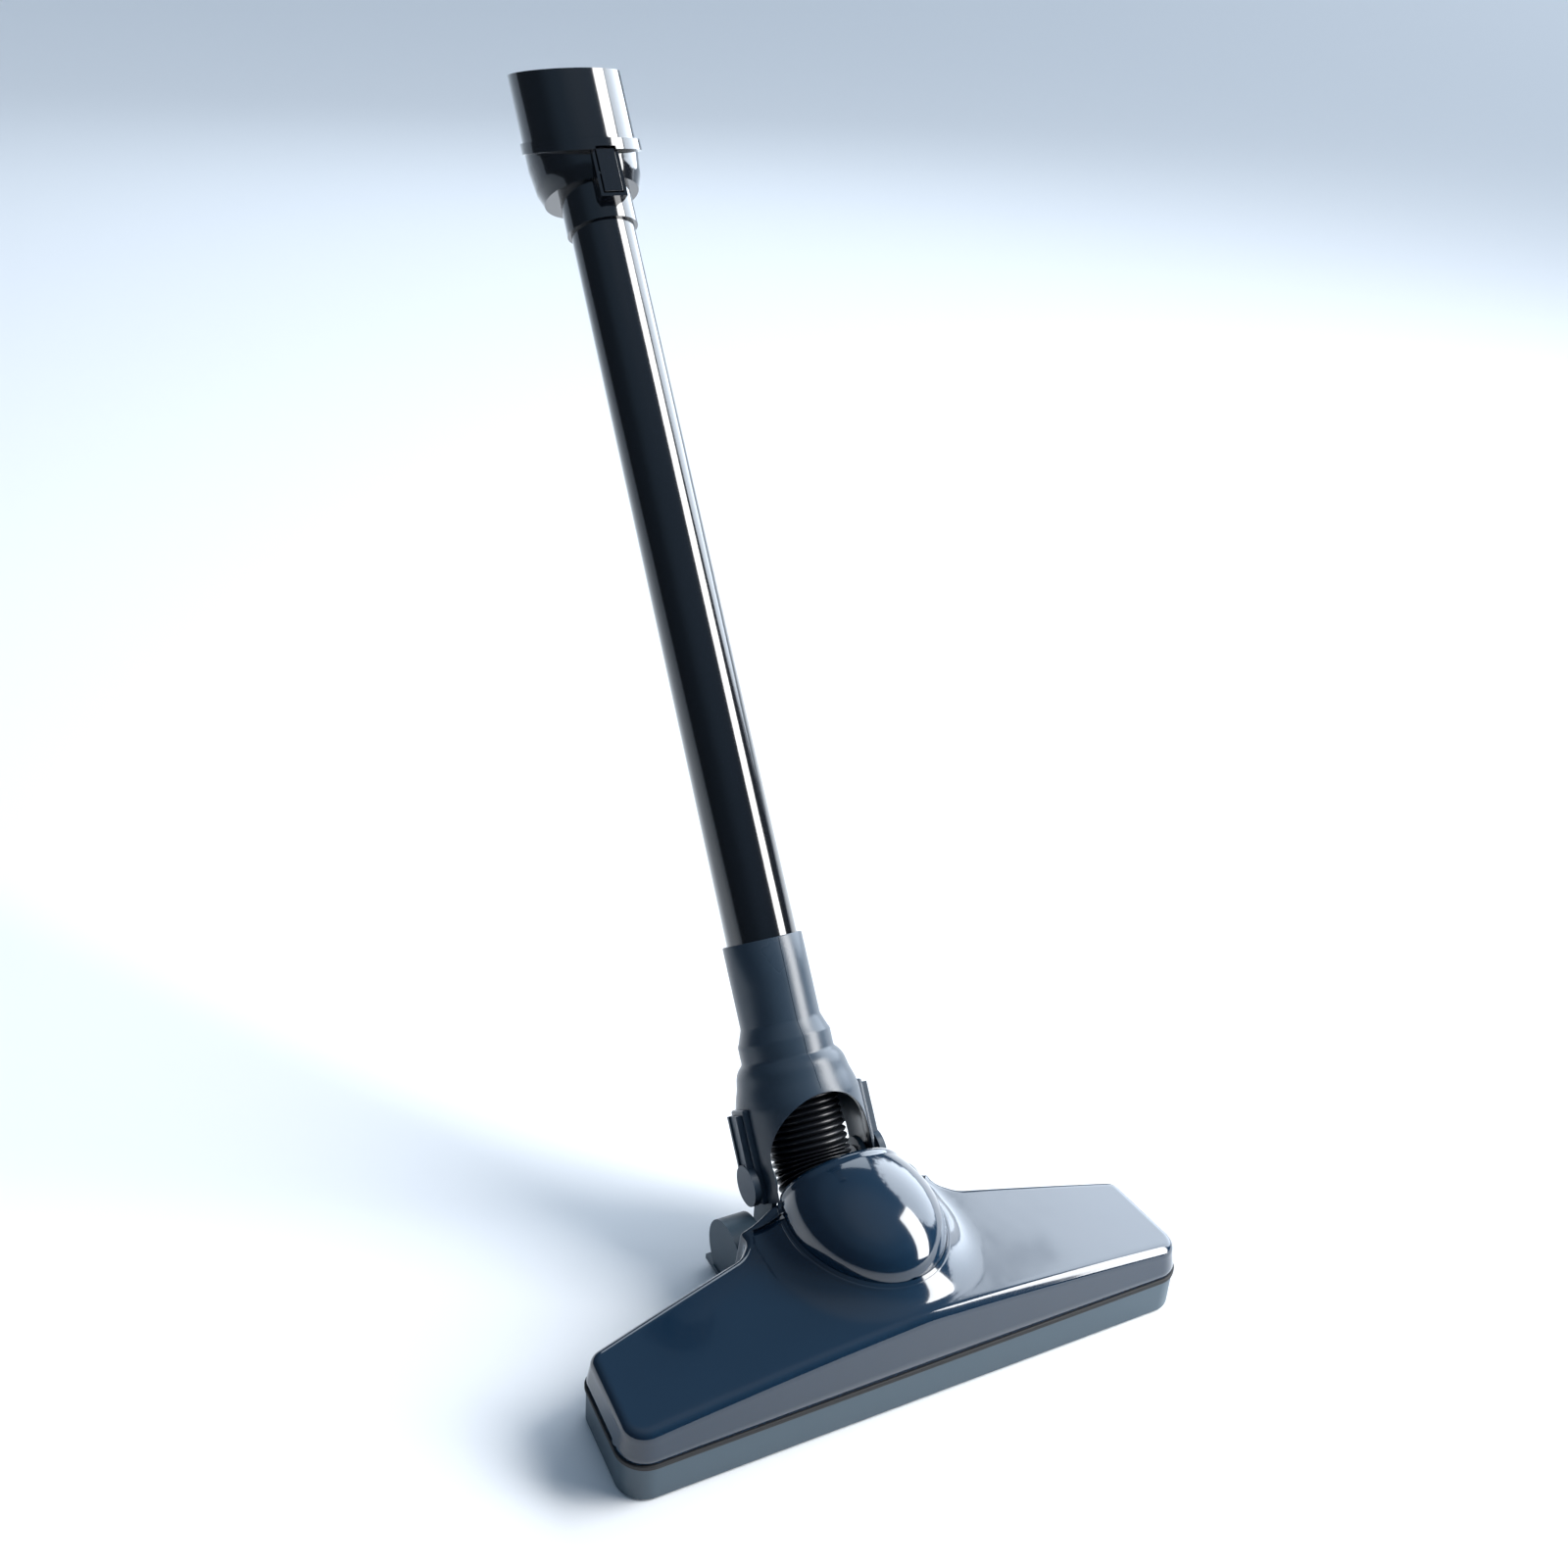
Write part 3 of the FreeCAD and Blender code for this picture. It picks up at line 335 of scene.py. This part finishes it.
def ringPoints(inset):
    # the plan set in by a distance, as evenly numbered points: (x, y) in millimetres
    corners = planCorners()
    count = len(corners)
    normals = []
    for index in range(count):
        start, end = corners[index], corners[(index + 1) % count]
        edge = Vector((end[0] - start[0], end[1] - start[1])).normalized()
        normals.append(Vector((-edge.y, edge.x)))
    moved = []
    for index in range(count):
        before, after = normals[index - 1], normals[index]
        corner = Vector(corners[index][:2])
        turn = 1 + before.dot(after)
        moved.append(corner + (before + after) * (inset / turn))
    points = []
    for index in range(count):
        before, after = normals[index - 1], normals[index]
        radius, steps = corners[index][2:]
        convex = before.cross(after) > 0
        radius = max(radius - inset, 0.4) if convex else radius + inset
        angle = math.acos(max(-1, min(1, before.dot(after))))
        reach = radius * math.tan(angle / 2)
        sign = 1 if convex else -1
        along = Vector((before.y, -before.x))
        centre = moved[index] - along * reach + before * radius * sign
        arc = []
        for step in range(steps + 1):
            swing = Matrix.Rotation(sign * angle * step / steps, 2)
            arc.append(centre - swing @ (before * radius * sign))
        points.append(arc)
    ring = []
    for index in range(count):
        ring += points[index]
        start, end = points[index][-1], points[(index + 1) % count][0]
        side = Vector(corners[(index + 1) % count][:2]) - Vector(corners[index][:2])
        spans = max(2, round(side.length / plan["spacing"]))
        for step in range(1, spans):
            ring.append(start.lerp(end, step / spans))
    return ring


def crown(x):
    return 44 - 11 * (abs(x) / 130) ** 1.3


seam = {"centre": 60, "half": 33.15, "long": 42.65, "high": 51.4}
foot = {"centre": 61, "half": 47.5, "long": 56.5, "power": 2.4}


def reachOf(angle, half, long, power, shift):
    # distance from the cover's centre to an oval along a direction
    across, back = math.cos(angle), math.sin(angle)
    low, high = 0.0, 140.0
    for _ in range(28):
        middle = (low + high) / 2
        value = (abs(across * middle) / half) ** power + (abs(back * middle - shift) / long) ** power
        low, high = (middle, high) if value < 1 else (low, middle)
    return low


def topHeight(x, y):
    # crowned top with the collar swept up to the cover's seam
    dx, dy = x, y - seam["centre"]
    angle = math.atan2(dy, dx)
    distance = math.hypot(dx, dy)
    inner = reachOf(angle, seam["half"], seam["long"], 2, 0)
    outer = reachOf(angle, foot["half"], foot["long"], foot["power"], foot["centre"] - seam["centre"])
    share = min(max((distance - inner) / (outer - inner), 0), 1)
    base = crown(x)
    return base + (seam["high"] - base) * (1 - share) ** 2.1


def makeUpperShell():
    # glossy lid: drafted wall, rounded shoulder, crowned deck and a collar that ends in the seam
    edge = {"proud": 0.6, "chamfer": 0.5, "draft": 2.2, "round": 4.6, "foot": 19.2, "wallStart": 19.8,
            "wallSteps": 4, "roundSteps": 8, "wall": 2.0, "gateHalf": 26.5, "deckSteps": 34, "deckEase": 1.7,
            "seamShrink": 0.994, "lipDrops": (0.5, 4)}
    rims = [(edge["proud"] + edge["chamfer"], edge["foot"], 0), (edge["proud"], edge["wallStart"], 0)]
    for step in range(1, edge["wallSteps"] + 1):
        share = step / edge["wallSteps"]
        rims.append((edge["proud"] + (edge["draft"] - edge["proud"]) * share, None, share))
    rows = []
    outlines = {}

    def outlineAt(inset):
        key = round(inset, 3)
        if key not in outlines:
            outlines[key] = ringPoints(inset)
        return outlines[key]

    full = outlineAt(0)
    rear = [index for index, point in enumerate(full)
            if point.y > plan["rear"] - 0.1 and abs(point.x) < edge["gateHalf"]]
    first, last = rear[-1] + 1, rear[0]
    count = len(full)
    order = [(first + step) % count for step in range((last - first) % count)]

    def row(inset, height):
        ring = outlineAt(inset)
        return [(ring[index].x, ring[index].y, height(ring[index], index)) for index in order]

    def shoulder(point, index):
        return topHeight(*outlineAt(edge["draft"] + edge["round"])[index]) - edge["round"]

    for inset, level, share in rims:
        rows.append(row(inset, lambda point, index: level if level else
                        edge["wallStart"] + (shoulder(point, index) - edge["wallStart"]) * share))
    for step in range(1, edge["roundSteps"] + 1):
        turn = math.pi / 2 * step / edge["roundSteps"]
        inset = edge["draft"] + edge["round"] * (1 - math.cos(turn))
        rows.append(row(inset, lambda point, index: shoulder(point, index) + edge["round"] * math.sin(turn)))
    start = rows[-1]
    inner = []
    for x, y, _ in start:
        angle = math.atan2(y - seam["centre"], x)
        reach = reachOf(angle, seam["half"], seam["long"], 2, 0)
        inner.append((reach * math.cos(angle), seam["centre"] + reach * math.sin(angle)))
    for step in range(1, edge["deckSteps"] + 1):
        share = 1 - (1 - step / edge["deckSteps"]) ** edge["deckEase"]
        line = []
        for (x, y, _), (u, v) in zip(start, inner):
            px, py = x + (u - x) * share, y + (v - y) * share
            line.append((px, py, topHeight(px, py)))
        rows.append(line)
    for drop in edge["lipDrops"]:
        rows.append([(u * edge["seamShrink"], seam["centre"] + (v - seam["centre"]) * edge["seamShrink"],
                      seam["high"] - drop) for u, v in inner])
    scaled = [[(x * mm, frontEdge + y * mm, z * mm) for x, y, z in line] for line in rows]
    shell = newObject("shell_lid", meshFrom(gridMesh(scaled), "shell_lid"), glossNavy, 50)
    for polygon in shell.data.polygons:
        if abs(polygon.center.x) < 0.01 and polygon.center.y < frontEdge + 0.012 and polygon.center.z > 0.04:
            if polygon.normal.z < 0:
                shell.data.flip_normals()
            break
    thicken(shell, edge["wall"] * mm)
    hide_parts("upper_shell")
    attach(shell, "head")
    return shell


def makeCover():
    # egg-shaped cover with a rolled lip where the bellows comes out
    egg = {"half": 33, "long": 42.5, "rise": 25, "low": 50, "openingTilt": 24, "wall": 1.9, "lipStart": 0.965,
           "lipProud": 0.7, "steps": 60, "count": 72, "turnStart": -5.5, "turnSpan": 191}
    slope = math.tan(math.radians(egg["openingTilt"]))
    rows = []

    def openingAt(turn):
        # angle along the egg where it meets the slanted rear opening
        low, high = math.pi / 2 - 0.3, math.pi - 0.3
        for _ in range(24):
            middle = (low + high) / 2
            back = seam["centre"] - egg["long"] * math.cos(middle)
            height = egg["rise"] * math.sin(middle) * math.sin(turn)
            low, high = (middle, high) if back + height * slope < plan["rear"] else (low, middle)
        return low

    for step in range(2, egg["steps"] + 1):
        share = step / egg["steps"]
        grow = egg["lipProud"] * mm if share > egg["lipStart"] else 0
        line = []
        for index in range(egg["count"] + 1):
            turn = math.radians(egg["turnStart"] + egg["turnSpan"] * index / egg["count"])
            angle = openingAt(turn) * share
            radius = math.sin(angle)
            line.append(((egg["half"] * mm + grow) * radius * math.cos(turn),
                         frontEdge + (seam["centre"] - egg["long"] * math.cos(angle)) * mm,
                         egg["low"] * mm + (egg["rise"] * mm + grow) * radius * math.sin(turn)))
        rows.append(line)
    cover = newObject("egg_cover", meshFrom(gridMesh(rows), "egg_cover"), glossNavy, 50)
    top = max(cover.data.polygons, key=lambda polygon: polygon.center.z)
    if top.normal.z < 0:
        cover.data.flip_normals()
    thicken(cover, egg["wall"] * mm)
    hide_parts("duct_cover")
    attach(cover, "head")


makeUpperShell()
makeCover()
print("lid and cover made")


side = Vector((1, 0, 0))
frontward = side.cross(wandAxis).normalized()
if frontward.y > 0:
    frontward.negate()
neckFrame = Matrix((
    (side.x, -frontward.x, wandAxis.x, pivot.x),
    (side.y, -frontward.y, wandAxis.y, pivot.y),
    (side.z, -frontward.z, wandAxis.z, pivot.z),
    (0, 0, 0, 1),
))


def turnedRows(profile, count):
    rows = []
    for radius, height in profile:
        turns = [2 * math.pi * index / count for index in range(count)]
        rows.append([(radius * mm * math.cos(turn), radius * mm * math.sin(turn), height * mm) for turn in turns])
    return rows


def makeNeck():
    # socket, two stepped flares and a body with an arched window in front
    body = smoothLine([(28.5, -9), (28.6, 12), (28.6, 29), (28.2, 33), (27.2, 37), (26.1, 40.5), (25.5, 43.2),
                       (25, 45.6), (24.2, 47.6), (23, 49.4), (21.9, 50.6)], 3)
    outer = body + [(21.5, 51.2), (21.4, 52), (21.4, 58.8), (21.2, 59.7), (20.7, 60.5), (19, 65.2),
                    (18.65, 66.1), (18.46, 67.2), (18.46, 85), (18.46, 103.9)]
    inner = [(18.1, 104.4), (17.0, 104.4), (16.55, 103.9), (16.55, 62), (17.2, 61.5), (18.7, 58), (18.7, 51.5),
             (22.6, 44), (26.4, 33.5), (26.6, 30), (26.6, 12), (26.6, -9)]
    rows = turnedRows(outer + inner, 144)
    rows.append(rows[0])
    window = {"radius": 25, "high": 8.6, "low": -20, "deep": 50, "count": 64}
    lugSize = {"inner": 27, "outer": 30.4, "half": 7, "low": -9, "high": 33, "round": 1.1}
    mesh = meshFrom(gridMesh(rows, closed=True), "neck_body")
    weld = bmesh.new()
    weld.from_mesh(mesh)
    bmesh.ops.remove_doubles(weld, verts=weld.verts, dist=0.000001)
    bmesh.ops.recalc_face_normals(weld, faces=weld.faces)
    weld.to_mesh(mesh)
    weld.free()
    neck = newObject("neck_body", mesh, satinSlate, 0)

    def windowCutter(bm):
        radius, low = window["radius"] * mm, window["low"] * mm
        turns = [math.pi * index / window["count"] for index in range(window["count"] + 1)]
        arch = [(radius * math.cos(turn), window["high"] * mm + radius * math.sin(turn)) for turn in turns]
        arch = [(radius, low), *arch, (-radius, low)]
        near = [bm.verts.new((x, -window["deep"] * mm, z)) for x, z in arch]
        far = [bm.verts.new((x, 0, z)) for x, z in arch]
        bm.faces.new(near)
        bm.faces.new(list(reversed(far)))
        for index in range(len(arch)):
            following = (index + 1) % len(arch)
            bm.faces.new((near[index], near[following], far[following], far[index]))

    def rearCutter(bm):
        blockBetween(bm, (-0.04, 0.009, -0.02), (0.04, 0.05, 0.014))

    cutters = []
    for name, build in (("window", windowCutter), ("rear", rearCutter)):
        cutter = bpy.data.objects.new(name, meshFrom(build, name))
        bpy.context.scene.collection.objects.link(cutter)
        cutters.append(cutter)
    subtract(neck, *cutters)
    soften(neck, 0.5 * mm, 50, 3)
    settle(neck)
    for polygon in neck.data.polygons:
        polygon.use_smooth = True
    neck.data.set_sharp_from_angle(angle=math.radians(42))

    def lugs(bm):
        for sign in (-1, 1):
            low, high = sorted((sign * lugSize["inner"] * mm, sign * lugSize["outer"] * mm))
            blockBetween(bm, (low, -lugSize["half"] * mm, lugSize["low"] * mm),
                         (high, lugSize["half"] * mm, lugSize["high"] * mm))

    lug = newObject("neck_lugs", meshFrom(lugs, "neck_lugs"), satinSlate, 0)
    soften(lug, lugSize["round"] * mm, 40, 4)
    settle(lug)
    lug.data.set_sharp_from_angle(angle=math.radians(40))

    ridge = [[(-0.25 * mm, -(radius - 0.05) * mm, level * mm), (0, -(radius + 0.16) * mm, level * mm),
              (0.25 * mm, -(radius - 0.05) * mm, level * mm)] for radius, level in outer if level > 35]
    lineMesh = meshFrom(gridMesh(ridge), "neck_seam_line")
    line = newObject("neck_seam_line", lineMesh, satinSlate, 60)

    for piece in (neck, lug, line):
        piece.matrix_world = neckFrame
        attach(piece, "neck")
    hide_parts("neck_socket")
    return neck


makeNeck()


hose = {"rise": 25, "start": 24, "bend": 34, "top": 57.5, "blendLow": 18, "blendHigh": 40}


def hosePath():
    # centre line of the bellows: straight, one bend at the tilt axis, straight
    rise = math.radians(hose["rise"])
    into = Vector((0, math.cos(rise), math.sin(rise)))
    away = wandAxis
    turn = into.angle(away)
    tangent = hose["bend"] * math.tan(turn / 2)
    start = pivot - into * hose["start"] * mm
    first = pivot - into * tangent * mm
    last = pivot + away * tangent * mm
    end = pivot + away * hose["top"] * mm
    centre = first + Vector((0, -into.z, into.y)) * hose["bend"] * mm
    arc = hose["bend"] * mm * turn
    lengths = [(first - start).length, arc, (end - last).length]

    def at(distance):
        if distance <= lengths[0]:
            return start + into * distance, into
        distance -= lengths[0]
        if distance <= lengths[1]:
            spin = Matrix.Rotation(distance / (hose["bend"] * mm), 3, "X")
            return centre + spin @ (first - centre), spin @ into
        distance -= lengths[1]
        return last + away * distance, away
    return at, sum(lengths)


def makeBellows():
    # corrugated hose: rounded ridges with narrow valleys
    at, total = hosePath()
    folds = {"pitch": 2.95, "crest": 18.4, "valley": 15.9, "samples": 10, "bore": 15.5, "count": 72,
             "plainSteps": 12, "plainRadius": 18.0, "fullness": 0.6}
    ridges = round(total / mm / folds["pitch"])
    steps = ridges * folds["samples"]

    def ringAt(step, radius):
        place, along = at(total * step / steps)
        up = along.cross(side).normalized()
        turns = [2 * math.pi * index / folds["count"] for index in range(folds["count"])]
        return [place + (side * math.cos(turn) + up * math.sin(turn)) * radius * mm for turn in turns]

    rows = []
    for step in range(steps + 1):
        phase = (step % folds["samples"]) / folds["samples"]
        swell = abs(math.sin(math.pi * phase)) ** folds["fullness"]
        plainEnd = step < folds["plainSteps"] or step > steps - folds["plainSteps"]
        ridge = folds["valley"] + (folds["crest"] - folds["valley"]) * swell
        rows.append(ringAt(step, folds["plainRadius"] if plainEnd else ridge))
    inner = [ringAt(step, folds["bore"]) for step in range(steps, -1, -6)]
    rows = rows + inner + [rows[0]]

    def build(bm):
        gridMesh(rows, closed=True)(bm)
        bmesh.ops.remove_doubles(bm, verts=bm.verts, dist=0.000001)
    piece = newObject("bellows_hose", meshFrom(build, "bellows_hose"), bellowsBlack, 60)
    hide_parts("bellows")
    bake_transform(piece)


makeBellows()
print("neck and bellows made")


for nodeName, width in (("base_body", 0.9), ("bumper_strip", 0.5), ("sole_plate", 0.4), ("pivot_clip_left", 0.5),
                        ("pivot_clip_right", 0.5), ("adapter", 0.35), ("latch_button", 0.4), ("tyre_left", 0.8),
                        ("tyre_right", 0.8)):
    softenNode(nodeName, width * mm)


def makeCamera():
    data = bpy.data.cameras.new("camera")
    data.lens = 41.04
    data.sensor_width = 36
    data.clip_start = 0.01
    camera = bpy.data.objects.new("camera", data)
    bpy.context.scene.collection.objects.link(camera)
    across = Vector((0.88555, -0.46071, 0.05949)).normalized()
    back = Vector((-0.43185, -0.76927, 0.47089)).normalized()
    up = back.cross(across).normalized()
    camera.matrix_world = Matrix((
        (across.x, up.x, back.x, -0.3295),
        (across.y, up.y, back.y, -0.44235),
        (across.z, up.z, back.z, 0.57283),
        (0, 0, 0, 1),
    ))
    bpy.context.scene.camera = camera


def makeFloor():
    def build(bm):
        bmesh.ops.create_circle(bm, cap_ends=True, radius=60, segments=96)
    mesh = meshFrom(build, "floor")
    floor = bpy.data.objects.new("floor", mesh)
    bpy.context.scene.collection.objects.link(floor)
    material = bpy.data.materials.new("floor_pale")
    material.use_nodes = True
    shader = material.node_tree.nodes["Principled BSDF"]
    shader.inputs["Base Color"].default_value = (0.86, 0.87, 0.88, 1)
    shader.inputs["Roughness"].default_value = 0.85
    mesh.materials.append(material)
    floor.location.z = -0.0002


def makeLight(name, place, target, along, width, length, power, color=(1, 1, 1)):
    # area light aimed at a point, its long side turned along a direction
    data = bpy.data.lights.new(name, "AREA")
    data.shape = "RECTANGLE"
    data.size = width
    data.size_y = length
    data.energy = power
    data.color = color
    lamp = bpy.data.objects.new(name, data)
    bpy.context.scene.collection.objects.link(lamp)
    back = (Vector(place) - Vector(target)).normalized()
    across = Vector(along).cross(back).normalized()
    up = back.cross(across)
    lamp.matrix_world = Matrix.Translation(place) @ Matrix((across, up, back)).transposed().to_4x4()
    return lamp


def makeSkyGroup():
    # colours of the surroundings by direction: dim all round, with bright broken cloud to the right
    group, inside, outside = socketGroup(
        "surroundings",
        [("Direction", "NodeSocketVector", (0, 0, 1)), ("Glow", "NodeSocketVector", (0.85, 0.35, 0.38))],
        [("Color", "NodeSocketColor")])
    nodes, links = group.nodes, group.links
    split = nodes.new("ShaderNodeSeparateXYZ")
    links.new(inside.outputs["Direction"], split.inputs["Vector"])
    ramp = nodes.new("ShaderNodeValToRGB")
    ramp.color_ramp.interpolation = "EASE"
    stops = ((0.0, (0.05, 0.065, 0.085)), (0.4, (0.07, 0.1, 0.14)), (0.75, (0.16, 0.24, 0.34)),
             (1.0, (0.34, 0.42, 0.52)))
    while len(ramp.color_ramp.elements) < len(stops):
        ramp.color_ramp.elements.new(0.5)
    for element, (position, color) in zip(ramp.color_ramp.elements, stops):
        element.position = position
        element.color = (*color, 1)
    links.new(split.outputs["Z"], ramp.inputs["Fac"])
    toward = nodes.new("ShaderNodeVectorMath")
    toward.operation = "DOT_PRODUCT"
    links.new(inside.outputs["Direction"], toward.inputs[0])
    links.new(inside.outputs["Glow"], toward.inputs[1])
    patch = nodes.new("ShaderNodeMapRange")
    patch.interpolation_type = "SMOOTHSTEP"
    patch.inputs["From Min"].default_value = 0.8
    patch.inputs["From Max"].default_value = 0.965
    links.new(toward.outputs["Value"], patch.inputs["Value"])
    clouds = nodes.new("ShaderNodeTexNoise")
    clouds.inputs["Scale"].default_value = 17
    clouds.inputs["Detail"].default_value = 7
    clouds.inputs["Roughness"].default_value = 0.62
    clouds.inputs["Distortion"].default_value = 0.5
    links.new(inside.outputs["Direction"], clouds.inputs["Vector"])
    broken = nodes.new("ShaderNodeMapRange")
    broken.interpolation_type = "SMOOTHSTEP"
    broken.inputs["From Min"].default_value = 1.08
    broken.inputs["From Max"].default_value = 1.3
    both = nodes.new("ShaderNodeMath")
    both.operation = "ADD"
    links.new(patch.outputs["Result"], both.inputs[0])
    links.new(clouds.outputs["Fac"], both.inputs[1])
    links.new(both.outputs["Value"], broken.inputs["Value"])
    mix = nodes.new("ShaderNodeMix")
    mix.data_type = "RGBA"
    mix.inputs["B"].default_value = (4.6, 5.1, 5.7, 1)
    links.new(broken.outputs["Result"], mix.inputs["Factor"])
    links.new(ramp.outputs["Color"], mix.inputs["A"])
    links.new(mix.outputs["Result"], outside.inputs["Color"])
    return group


def makeWorld():
    world = bpy.data.worlds.new("studio")
    bpy.context.scene.world = world
    world.use_nodes = True
    nodes, links = world.node_tree.nodes, world.node_tree.links
    place = nodes.new("ShaderNodeTexCoord")
    sky = nodes.new("ShaderNodeGroup")
    sky.node_tree = makeSkyGroup()
    sky.inputs["Glow"].default_value = Vector((0.85, 0.35, 0.38)).normalized()
    links.new(place.outputs["Generated"], sky.inputs["Direction"])
    links.new(sky.outputs["Color"], nodes["Background"].inputs["Color"])
    bpy.context.scene.view_settings.view_transform = "Standard"


makeCamera()
makeFloor()
makeLight("right_window", (1.5, -0.65, 1.15), (0.0, 0.26, 0.27), (0, 1.03, 1.33), 0.85, 2.3, 92)
makeLight("back_sky", (0.9, 2.6, 1.6), (0.05, 0.0, 0.05), (0, 0, 1), 1.6, 0.9, 12, (0.8, 0.9, 1.0))
makeWorld()

print("scene ready")
